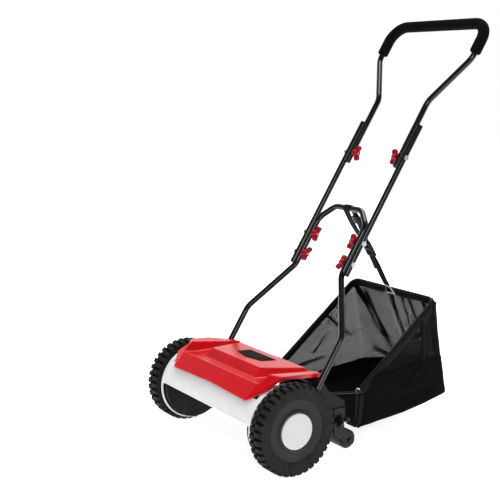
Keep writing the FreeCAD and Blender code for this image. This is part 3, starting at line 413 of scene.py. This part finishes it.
for node in sorted(nodes):
    if node in CUSTOM:
        continue
    stem = node.removesuffix("_left").removesuffix("_right")
    if stem in ROUNDING:
        rounded(node, ROUNDING[stem])
        continue
    for material_slot in nodes[node].material_slots:
        material_slot.material = FINISH[slot_of(node)] if material_slot.material else None


# ---- red cover --------------------------------------------------------------------------------
def on_middle(point):
    """The same point moved sideways to the middle plane."""
    return (0.0, point[1], point[2])


CREASE, CREASE_ANGLE, COVER_WALL = 5.0, math.radians(13), 2.8
# Corners of the cover's left half in mm; deck_cover() mirrors them.
MID_LOW, MID_SHOULDER = (0, -78, 178), (0, -49, 210)
FRONT_LOW, FRONT_SHOULDER = (170, -78, 178), (173, -49, 210)
CORNER_LOW = (208, -47.5, 203.5)
FENDER_FRONT_IN, FENDER_FRONT_OUT = (181, -22, 231), (212, -4, 229)
FENDER_LOW_FRONT, FENDER_LOW_REAR = (212, -2, 221), (212, 52, 216)
FENDER_TOP_REAR = (212, 52, 225)
TAIL_OUT_TOP, TAIL_OUT_LOW = (193, 126, 212), (193, 127, 203)
TAIL_IN_TOP, TAIL_IN_LOW = (170, 126, 213), (170, 128, 181)
MID_REAR, MID_REAR_LOW = (0, 126, 205), (0, 128, 181)
VALLEY_FRONT, VALLEY_REAR = (172, -18, 205), (166, 126, 205)
BASE_FRONT, BASE_REAR = (118, -18, 205), (154, 121, 205)
TOP_FRONT, TOP_REAR = (111, 1, 227), (145, 112, 217)

# The faces of the left half; the moulding's creases are rounded before the wall is given its thickness.
COVER_FACES = [
    [MID_LOW, FRONT_LOW, FRONT_SHOULDER, MID_SHOULDER],
    [MID_SHOULDER, FRONT_SHOULDER, VALLEY_FRONT, BASE_FRONT, on_middle(BASE_FRONT)],
    [BASE_FRONT, VALLEY_FRONT, VALLEY_REAR, BASE_REAR],
    [on_middle(BASE_REAR), BASE_REAR, VALLEY_REAR, MID_REAR],
    [MID_REAR, VALLEY_REAR, TAIL_IN_LOW, MID_REAR_LOW],
    [on_middle(BASE_FRONT), BASE_FRONT, TOP_FRONT, on_middle(TOP_FRONT)],
    [BASE_FRONT, BASE_REAR, TOP_REAR, TOP_FRONT],
    [BASE_REAR, on_middle(BASE_REAR), on_middle(TOP_REAR), TOP_REAR],
    [on_middle(TOP_FRONT), TOP_FRONT, TOP_REAR, on_middle(TOP_REAR)],
    [FRONT_LOW, CORNER_LOW, FENDER_LOW_FRONT],
    [FRONT_LOW, FENDER_LOW_FRONT, FENDER_FRONT_OUT],
    [FRONT_LOW, FENDER_FRONT_OUT, FENDER_FRONT_IN],
    [FRONT_LOW, FENDER_FRONT_IN, FRONT_SHOULDER],
    [FENDER_LOW_FRONT, FENDER_LOW_REAR, FENDER_TOP_REAR, FENDER_FRONT_OUT],
    [FENDER_LOW_REAR, TAIL_OUT_LOW, TAIL_OUT_TOP, FENDER_TOP_REAR],
    [FENDER_FRONT_IN, FENDER_FRONT_OUT, FENDER_TOP_REAR],
    [FENDER_FRONT_IN, FENDER_TOP_REAR, TAIL_OUT_TOP],
    [FENDER_FRONT_IN, TAIL_OUT_TOP, TAIL_IN_TOP],
    [TAIL_OUT_LOW, TAIL_IN_LOW, TAIL_IN_TOP, TAIL_OUT_TOP],
    [TAIL_IN_LOW, VALLEY_REAR, TAIL_IN_TOP],
    [FRONT_SHOULDER, FENDER_FRONT_IN, VALLEY_FRONT],
    [VALLEY_FRONT, FENDER_FRONT_IN, TAIL_IN_TOP, VALLEY_REAR],
]


def deck_cover():
    """Moulded cover: rounded creases, then a thin wall inwards."""
    bm = bmesh.new()
    corners = {}

    def corner(point, side):
        key = (point[0] * side, point[1], point[2])
        if key not in corners:
            corners[key] = bm.verts.new(at(*key))
        return corners[key]

    for face in COVER_FACES:
        bm.faces.new([corner(point, 1) for point in face])
        bm.faces.new([corner(point, -1) for point in reversed(face)])
    bmesh.ops.dissolve_limit(bm, angle_limit=math.radians(0.5), verts=bm.verts, edges=bm.edges)
    bmesh.ops.recalc_face_normals(bm, faces=bm.faces)
    piece = new_piece("deck_cover_shape", mesh_from("deck_cover_shape", bm))
    piece.data.materials.append(FINISH["red_cover"])
    crease = piece.modifiers.new("crease", "BEVEL")
    crease.width = CREASE * MM
    crease.segments = 4
    crease.limit_method = "ANGLE"
    crease.angle_limit = CREASE_ANGLE
    wall = piece.modifiers.new("wall", "SOLIDIFY")
    wall.thickness = COVER_WALL * MM
    wall.offset = -1.0
    soften(piece, 0.7, angle=60.0)
    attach(piece, "chassis")
    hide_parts("deck_cover")


deck_cover()


# ---- grass bag --------------------------------------------------------------------------------
# Corners of the side view as (y, z) in mm; the seam between cloth and netting is a tilted plane.
# The binding and the hem are given as width and thickness.
BAG_HALF, CLOTH_INSET = 175.0, 1.5
CLOTH_X = BAG_HALF - CLOTH_INSET
SMOOTHINGS, CALM_EDGE = 14, 40.0
FOOT, RIM, TOP, HEEL = (262.0, 40.0), (270.0, 134.0), (523.0, 337.0), (573.0, 76.0)
SEAM_AT, SEAM_ACROSS, SEAM_BACK = (0.0, 400.0, 127.0), 0.27, 0.078
SEAM_LAP, SAG = 2.0, 7.0
BINDING, HEM = (20.0, 9.5), (14.0, 4.5)
CELLS_ALONG, CELLS_DOWN, CELLS_ACROSS = 64, 52, 70
# Folds as start (x, y, z), end (x, y, z), height and half width: ridges where the cloth is pulled,
# and grooves where the height is negative.
FOLDS = [
    ((-158, 524, 322), (-20, 550, 165), 8.0, 6.0),
    ((-172, 524, 330), (-60, 555, 190), -6.0, 7.0),
    ((-120, 530, 310), (-10, 560, 120), -4.0, 9.0),
    ((-23, 526, 330), (20, 552, 185), 8.0, 5.0),
    ((-6, 526, 330), (38, 550, 190), -6.0, 5.0),
    ((29, 526, 330), (52, 545, 222), 7.0, 5.0),
    ((60, 526, 330), (110, 552, 180), 5.0, 6.0),
    ((120, 526, 325), (160, 560, 120), 4.0, 8.0),
    ((-175, 300, 105), (-175, 420, 120), 5.0, 7.0),
    ((-175, 420, 250), (-175, 520, 170), 5.0, 7.0),
    ((-175, 380, 140), (-175, 430, 195), -4.0, 5.0),
    ((175, 470, 290), (175, 478, 170), 5.0, 6.0),
    ((175, 505, 310), (175, 520, 200), -5.0, 7.0),
    ((175, 478, 170), (175, 440, 140), 4.0, 7.0),
    ((175, 478, 170), (175, 520, 138), 4.0, 7.0),
    ((175, 330, 150), (175, 470, 100), 3.0, 12.0),
    ((175, 360, 90), (175, 540, 110), -3.0, 14.0),
    ((100, 570, 100), (-120, 560, 140), 4.0, 12.0),
]


def between(a, b, t):
    """The point a share t of the way from a to b."""
    return tuple(p + (q - p) * t for p, q in zip(a, b))


def bag_point(x, along, down):
    """A point of the bag's side at x: along from front to back, down from rim to bottom."""
    y0, z0 = between(RIM, TOP, along)
    y1, z1 = between(FOOT, HEEL, along)
    sag = SAG * math.sin(math.pi * along) * down ** 2
    return Vector((x, y0 + (y1 - y0) * down, z0 + (z1 - z0) * down - sag))


def bag_sheet():
    """The bag's two sides, back and bottom as one welded sheet of small cells."""
    bm = bmesh.new()
    bm.verts.layers.float.new("bunched")
    cells = {}

    def vertex(point):
        key = tuple(round(c, 3) for c in point)
        if key not in cells:
            cells[key] = bm.verts.new(point)
        return cells[key]

    def patch(rows, columns, place):
        grid = [[vertex(place(i / rows, j / columns)) for j in range(columns + 1)]
                for i in range(rows + 1)]
        for i in range(rows):
            for j in range(columns):
                bm.faces.new([grid[i][j], grid[i + 1][j], grid[i + 1][j + 1], grid[i][j + 1]])

    patch(CELLS_ALONG, CELLS_DOWN, lambda i, j: bag_point(CLOTH_X, i, j))
    patch(CELLS_ALONG, CELLS_DOWN, lambda i, j: bag_point(-CLOTH_X, i, j))
    patch(CELLS_ACROSS, CELLS_DOWN, lambda i, j: bag_point((2 * i - 1) * CLOTH_X, 1.0, j))
    patch(CELLS_ACROSS, CELLS_ALONG, lambda i, j: bag_point((2 * i - 1) * CLOTH_X, j, 1.0))
    bmesh.ops.recalc_face_normals(bm, faces=bm.faces)
    return bm


def fold_cloth(bm):
    """Rounds the sheet where its panels meet, then raises its folds; "bunched" says how tight they are."""
    bunched = bm.verts.layers.float["bunched"]
    free = [v for v in bm.verts if not v.is_boundary]
    for _ in range(SMOOTHINGS):
        bmesh.ops.smooth_vert(bm, verts=free, factor=0.5, use_axis_x=True, use_axis_y=True,
                              use_axis_z=True)
    bm.normal_update()
    middle = Vector((0, 430, 170))
    flip = 1 if sum((v.co - middle).dot(v.normal) for v in free) > 0 else -1
    moved = []
    for v in free:
        lift = 2.6 * noise.noise(v.co * 0.011) + 1.1 * noise.noise(v.co * 0.03)
        for start, end, height, width in FOLDS:
            nearest, share = intersect_point_line(v.co, Vector(start), Vector(end))
            share = min(1.0, max(0.0, share))
            nearest = Vector(start).lerp(Vector(end), share)
            gap = (v.co - nearest).length
            if gap < 4 * width:
                v[bunched] += 1.3 * math.exp(-(gap / width * 1.2) ** 2) * (1 - 0.45 * share)
                lift += height * math.exp(-(gap / width) ** 2) * (0.35 + 0.65 * math.sin(math.pi * share))
        edge = min(1.0, max(0.0, (v.co.y - FOOT[0]) / CALM_EDGE))
        moved.append((v, v.normal * flip * lift * (0.25 + 0.75 * edge)))
    for v, shift in moved:
        v.co += shift


def bag_cloth():
    """The folded sheet in its place, with a UV map in metres for its weave."""
    bm = bag_sheet()
    fold_cloth(bm)
    metres = bm.loops.layers.uv.new("UVMap")
    for face in bm.faces:
        lean = [abs(c) for c in face.normal]
        for loop in face.loops:
            x, y, z = loop.vert.co * MM
            side = lean.index(max(lean))
            loop[metres].uv = ((y, z), (x, z), (x, y))[side]
    for v in bm.verts:
        v.co = at(*v.co)
    return bm


def bag_piece(name, node, slot, keep_above, thick):
    """The part of the bag above or below the seam, with a hem's overlap."""
    bm = bag_cloth()
    x, y, z = SEAM_AT
    bmesh.ops.bisect_plane(bm, geom=bm.verts[:] + bm.edges[:] + bm.faces[:], dist=WELD,
                           plane_co=at(x, y, z + (-SEAM_LAP if keep_above else SEAM_LAP)),
                           plane_no=(-SEAM_ACROSS, -SEAM_BACK, 1), clear_inner=keep_above,
                           clear_outer=not keep_above)
    piece = new_piece(name, mesh_from(name, bm))
    piece.data.materials.append(FINISH[slot])
    wall = piece.modifiers.new("wall", "SOLIDIFY")
    wall.thickness = thick * MM
    wall.offset = 0.0
    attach(piece, "bag")
    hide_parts(node)


bag_piece("bag_netting_walls", "bag_mesh", "mesh", True, 0.12)
bag_piece("bag_cloth_walls", "bag_fabric", "fabric", False, 2.0)


def strip(name, path, downs, outs, width, thick, slot, body, sections=14):
    """A soft band of cloth swept along a path; width runs along downs and thickness along outs."""
    bm = bmesh.new()
    metres = bm.loops.layers.uv.new("UVMap")
    rings = []
    for point, down, out in zip(path, downs, outs):
        ring = []
        for k in range(sections):
            angle = 2 * math.pi * k / sections
            across = math.copysign(abs(math.cos(angle)) ** 0.45, math.cos(angle)) * width / 2
            deep = math.copysign(abs(math.sin(angle)) ** 0.8, math.sin(angle)) * thick / 2
            ring.append(bm.verts.new(at(*(point + down * across + out * deep))))
        rings.append(ring)
    run = 0.0
    for i, (first, second) in enumerate(zip(rings, rings[1:])):
        step = (path[i + 1] - path[i]).length * MM
        for k in range(sections):
            nxt = (k + 1) % sections
            face = bm.faces.new([first[k], second[k], second[nxt], first[nxt]])
            for loop, (along, around) in zip(face.loops, ((0, k), (step, k), (step, k + 1), (0, k + 1))):
                loop[metres].uv = (around * 2 * width * MM / sections, run + along)
        run += step
    for ring in (rings[0], rings[-1]):
        bm.faces.new(ring)
    bmesh.ops.recalc_face_normals(bm, faces=bm.faces)
    piece = new_piece(name, mesh_from(name, bm))
    piece.data.materials.append(FINISH[slot])
    if body:
        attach(piece, body)
    return piece


def round_corner(before, corner, after, radius, steps):
    """Points of the arc that rounds a corner."""
    a = (before - corner).normalized()
    b = (after - corner).normalized()
    half = a.angle(b) / 2
    reach = radius / math.tan(half)
    centre = corner + (a + b).normalized() * radius / math.sin(half)
    start = corner + a * reach - centre
    end = corner + b * reach - centre
    return [centre + start.slerp(end, k / steps) * radius for k in range(steps + 1)]


def line(a, b, steps):
    """Evenly spaced points from a to b."""
    return [a.lerp(b, k / steps) for k in range(steps + 1)]


def swept(points, down_at):
    """Down and out directions at each point of a path."""
    downs, outs = [], []
    for i, point in enumerate(points):
        way = (points[min(i + 1, len(points) - 1)] - points[max(i - 1, 0)]).normalized()
        down = down_at(point)
        down = (down - way * down.dot(way)).normalized()
        downs.append(down)
        outs.append(way.cross(down).normalized())
    return downs, outs


def three_sides(ends, corners, radius, side_steps, turn_steps):
    """A path from one end round two corners to the other end; the stretch between them lies along X."""
    straights = [line(end, corner + (end - corner).normalized() * (radius + 3), side_steps)
                 for end, corner in zip(ends, corners)]
    inwards = Vector((radius + 2, 0, 0))
    path = straights[0][:-1]
    path += round_corner(ends[0], corners[0], corners[1], radius, turn_steps)
    path += line(corners[0] - inwards, corners[1] + inwards, 30)[1:-1]
    path += round_corner(corners[0], corners[1], ends[1], radius, turn_steps)
    path += straights[1][-2::-1]
    return path


def rim_binding():
    """Black binding folded over the wire round the bag's sloping rim."""
    x, radius = BAG_HALF - 5.0, 22
    front = [Vector((side * x, RIM[0] - 4, RIM[1] + 1)) for side in (1, -1)]
    rear = [Vector((side * x, TOP[0] + 0.5, TOP[1] + 3)) for side in (1, -1)]
    path = three_sides(front, rear, radius, 30, 8)
    side_down = Vector((0, TOP[1] - RIM[1], RIM[0] - TOP[0])).normalized()
    rear_down = Vector((0, HEEL[0] - TOP[0], HEEL[1] - TOP[1])).normalized()

    def down_at(point):
        share = min(1.0, max(0.0, (abs(point.x) - (x - radius)) / radius))
        return rear_down.lerp(side_down, share)

    bumpy = [point + Vector((0, 0, 0.8 * noise.noise(point * 0.03))) for point in path]
    downs, outs = swept(path, down_at)
    width, thick = BINDING
    below_wire = [point + down * width / 4 for point, down in zip(bumpy, downs)]
    strip("bag_rim_binding", below_wire, downs, outs, width, thick, "webbing", "bag")


def front_hem():
    """Hem round the bag's open front: down one side, along the bottom and up the other."""
    x = BAG_HALF - 2.0
    high = [Vector((side * x, RIM[0] + 1, RIM[1] - 4)) for side in (1, -1)]
    low = [Vector((side * x, FOOT[0] + 1, FOOT[1] + 1)) for side in (1, -1)]
    path = three_sides(high, low, 12, 14, 6)
    downs, outs = swept(path, lambda point: Vector((0, 1, 0)))
    strip("bag_front_hem", path, downs, outs, *HEM, "webbing", "bag")


rim_binding()
front_hem()


# ---- strap ------------------------------------------------------------------------------------
# The strap hangs in the middle plane, from the arched tube to the ring on the bag's top wire. Its
# loose end lies on the run, from the first to the second distance below the slide.
TUBE_R = 8.0
LEAN = math.radians(33.0)
HANDLE_POINT = (278.0, 453.6)
SIDEWAYS = Vector((1, 0, 0))
WEBBING_WIDTH, WEBBING_THICK = 25.0, 1.7
LOOSE_END = (30.0, 82.0)
BAR_OVERHANG, HALF_BAR, HALF_RAIL = 2.0, 4.0, 2.2


def on_handle(x, u):
    """The point x across and u up the leaning plane of the middle tubes."""
    return Vector((x, HANDLE_POINT[0] + u * math.sin(LEAN), HANDLE_POINT[1] + u * math.cos(LEAN)))


STRAP_TOP = on_handle(0, 150.0)
STRAP_LOW = Vector((0, TOP[0] - 19, TOP[1] + 14))
STRAP_WAY = (STRAP_LOW - STRAP_TOP).normalized()
STRAP_FACE = STRAP_WAY.cross(SIDEWAYS).normalized()
STRAP_LENGTH = (STRAP_LOW - STRAP_TOP).length
BUCKLE_AT = 122.0


def hang(piece):
    """Keeps a piece of the strap on the arched tube at its top and on the bag's ring at its foot."""
    below_tube = STRAP_TOP + STRAP_WAY * 12
    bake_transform(piece, "chassis", "bag", start=at(*below_tube), end=at(*STRAP_LOW))


def strap_leg(side):
    """Points from the buckle up one side of the loop to the top of the arched tube."""
    reach = TUBE_R + 1.4
    points = []
    for k in range(25):
        share = k / 24
        run = BUCKLE_AT * (1 - share)
        spread = reach * (1 - (1 - share) ** 1.6) + 1.2 * (1 - share) + 2.4 * math.sin(math.pi * share)
        points.append(STRAP_TOP + STRAP_WAY * run + STRAP_FACE * side * spread)
    for k in range(1, 9):
        angle = math.radians(90) * k / 8
        points.append(STRAP_TOP + STRAP_FACE * side * reach * math.cos(angle)
                      - STRAP_WAY * reach * math.sin(angle))
    return points


def ribbon(name, points, width, thick):
    """A flat run of webbing whose width lies along X."""
    downs, outs = swept(points, lambda point: SIDEWAYS)
    return strip(name, points, downs, outs, width, thick, "webbing", None, 16)


def strap():
    """Webbing looped over the arched tube, joined in a slide, one run to the ring and a loose end."""
    loop = strap_leg(-1) + strap_leg(1)[::-1][1:]
    pieces = [ribbon("loop", loop, WEBBING_WIDTH, WEBBING_THICK)]
    run_from, run_to = BUCKLE_AT - 14, STRAP_LENGTH - 5.0
    single = [STRAP_TOP + STRAP_WAY * (run_from + (run_to - run_from) * k / 40)
              + STRAP_FACE * (0.9 * math.sin(k / 40 * 9)) for k in range(41)]
    pieces.append(ribbon("run", single, WEBBING_WIDTH, 2.6))
    end_from, end_to = LOOSE_END
    ply = [STRAP_TOP + STRAP_WAY * (BUCKLE_AT + end_from + (end_to - end_from) * k / 20)
           + STRAP_FACE * (3.0 + 2.2 * (k / 20) ** 2) for k in range(21)]
    pieces.append(ribbon("ply", ply, WEBBING_WIDTH - 1, WEBBING_THICK))
    bpy.ops.object.select_all(action="DESELECT")
    for piece in pieces:
        piece.select_set(True)
    bpy.context.view_layer.objects.active = pieces[0]
    bpy.ops.object.join()
    whole = pieces[0]
    whole.name = "strap_webbing"
    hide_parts("strap")
    hang(whole)


def slide(name, middle, half_width, half_height, thick):
    """Moulded slide: two side rails and three bars across, round the webbing."""
    bm = bmesh.new()
    blocks = [(-half_width - BAR_OVERHANG, half_width + BAR_OVERHANG, height - HALF_BAR, height + HALF_BAR)
              for height in (-half_height, 0.0, half_height)]
    blocks += [(side * half_width - HALF_RAIL, side * half_width + HALF_RAIL, -half_height, half_height)
               for side in (1, -1)]
    for x0, x1, h0, h1 in blocks:
        corners = []
        for deep in (-thick, thick):
            for x, h in ((x0, h0), (x1, h0), (x1, h1), (x0, h1)):
                point = middle + Vector((x, 0, 0)) + STRAP_WAY * h + STRAP_FACE * deep
                corners.append(bm.verts.new(at(*point)))
        for face in ((0, 1, 2, 3), (7, 6, 5, 4), (0, 4, 5, 1), (1, 5, 6, 2), (2, 6, 7, 3), (3, 7, 4, 0)):
            bm.faces.new([corners[i] for i in face])
    bmesh.ops.recalc_face_normals(bm, faces=bm.faces)
    bmesh.ops.bevel(bm, geom=bm.edges[:], offset=1.0 * MM, segments=2, profile=0.5, affect="EDGES")
    piece = new_piece(name, mesh_from(name, bm))
    piece.data.materials.append(FINISH[slot_of("strap_slides")])
    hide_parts("strap_slides")
    hang(piece)


strap()
slide("strap_slide_high", STRAP_TOP + STRAP_WAY * 46 - STRAP_FACE * 9.0,
      half_width=13.0, half_height=9.0, thick=2.8)
slide("strap_slide_low", STRAP_TOP + STRAP_WAY * (BUCKLE_AT + 14),
      half_width=13.5, half_height=20.0, thick=4.2)


# ---- floor, light and camera ------------------------------------------------------------------
# Places in metres. The world is white in the backdrop's direction and dim elsewhere.
BACKDROP_WAY = (-0.74, 0.67, 0.0)
FLOOR_HALF = 8.0
LENS, SENSOR = 73.12, 36.0
CAMERA_AT = (2.0865, -1.6335, 0.9316)
CAMERA_TILT, CAMERA_TURN = math.radians(80.585), math.radians(56.356)


def floor():
    """White studio floor, lit a little from itself so that it stays white under the mower."""
    bm = bmesh.new()
    bmesh.ops.create_grid(bm, x_segments=8, y_segments=8, size=FLOOR_HALF)
    piece = new_piece("floor", mesh_from("floor", bm))
    n = Nodes("floor_paint")
    tone = n.ranged(n.noise(n.place(), 3.0, 4.0), 0.3, 0.7, 0.94, 0.95)
    n.plug(Base_Color=n.add("ShaderNodeCombineColor", {"Red": tone, "Green": tone, "Blue": tone}).outputs[0],
           Roughness=0.75, Emission_Color=(1.0, 1.0, 1.0, 1.0), Emission_Strength=0.85)
    piece.data.materials.append(n.material)


def softbox(name, place, aim, size, power):
    """A rectangular lamp at a place in metres, turned towards its aim; power in watts."""
    light = bpy.data.lights.new(name, "AREA")
    light.shape = "RECTANGLE"
    light.size, light.size_y = size
    light.energy = power
    lamp = bpy.data.objects.new(name, light)
    bpy.context.scene.collection.objects.link(lamp)
    lamp.location = place
    lamp.rotation_euler = (Vector(aim) - Vector(place)).to_track_quat("-Z", "Y").to_euler()


def light_scene():
    """White backdrop behind the mower, a dim room in front of it, and two softboxes."""
    world = bpy.data.worlds.new("studio")
    world.use_nodes = True
    tree = world.node_tree
    where = tree.nodes.new("ShaderNodeTexCoord")
    along = tree.nodes.new("ShaderNodeVectorMath")
    along.operation = "DOT_PRODUCT"
    along.inputs[1].default_value = BACKDROP_WAY
    ramp = tree.nodes.new("ShaderNodeMapRange")
    ramp.interpolation_type = "SMOOTHSTEP"
    for key, value in (("From Min", 0.3), ("From Max", 0.75), ("To Min", 0.16), ("To Max", 1.0)):
        ramp.inputs[key].default_value = value
    tree.links.new(where.outputs["Generated"], along.inputs[0])
    tree.links.new(along.outputs["Value"], ramp.inputs["Value"])
    tree.links.new(ramp.outputs[0], tree.nodes["Background"].inputs["Strength"])
    tree.nodes["Background"].inputs["Color"].default_value = (1.0, 1.0, 1.0, 1.0)
    bpy.context.scene.world = world
    bpy.context.scene.view_settings.view_transform = "Standard"
    softbox("overhead", (-1.2, 1.6, 7.0), (0.0, 0.1, 0.3), (4.6, 4.6), 420.0)
    softbox("key", (4.2, -2.6, 3.2), (0.0, 0.0, 0.4), (1.4, 2.0), 90.0)


def camera():
    """The view from the front left, at about the height of the handle."""
    data = bpy.data.cameras.new("camera")
    data.lens = LENS
    data.sensor_width = SENSOR
    view = bpy.data.objects.new("camera", data)
    bpy.context.scene.collection.objects.link(view)
    view.location = CAMERA_AT
    view.rotation_euler = (CAMERA_TILT, 0.0, CAMERA_TURN)
    bpy.context.scene.camera = view


floor()
light_scene()
camera()
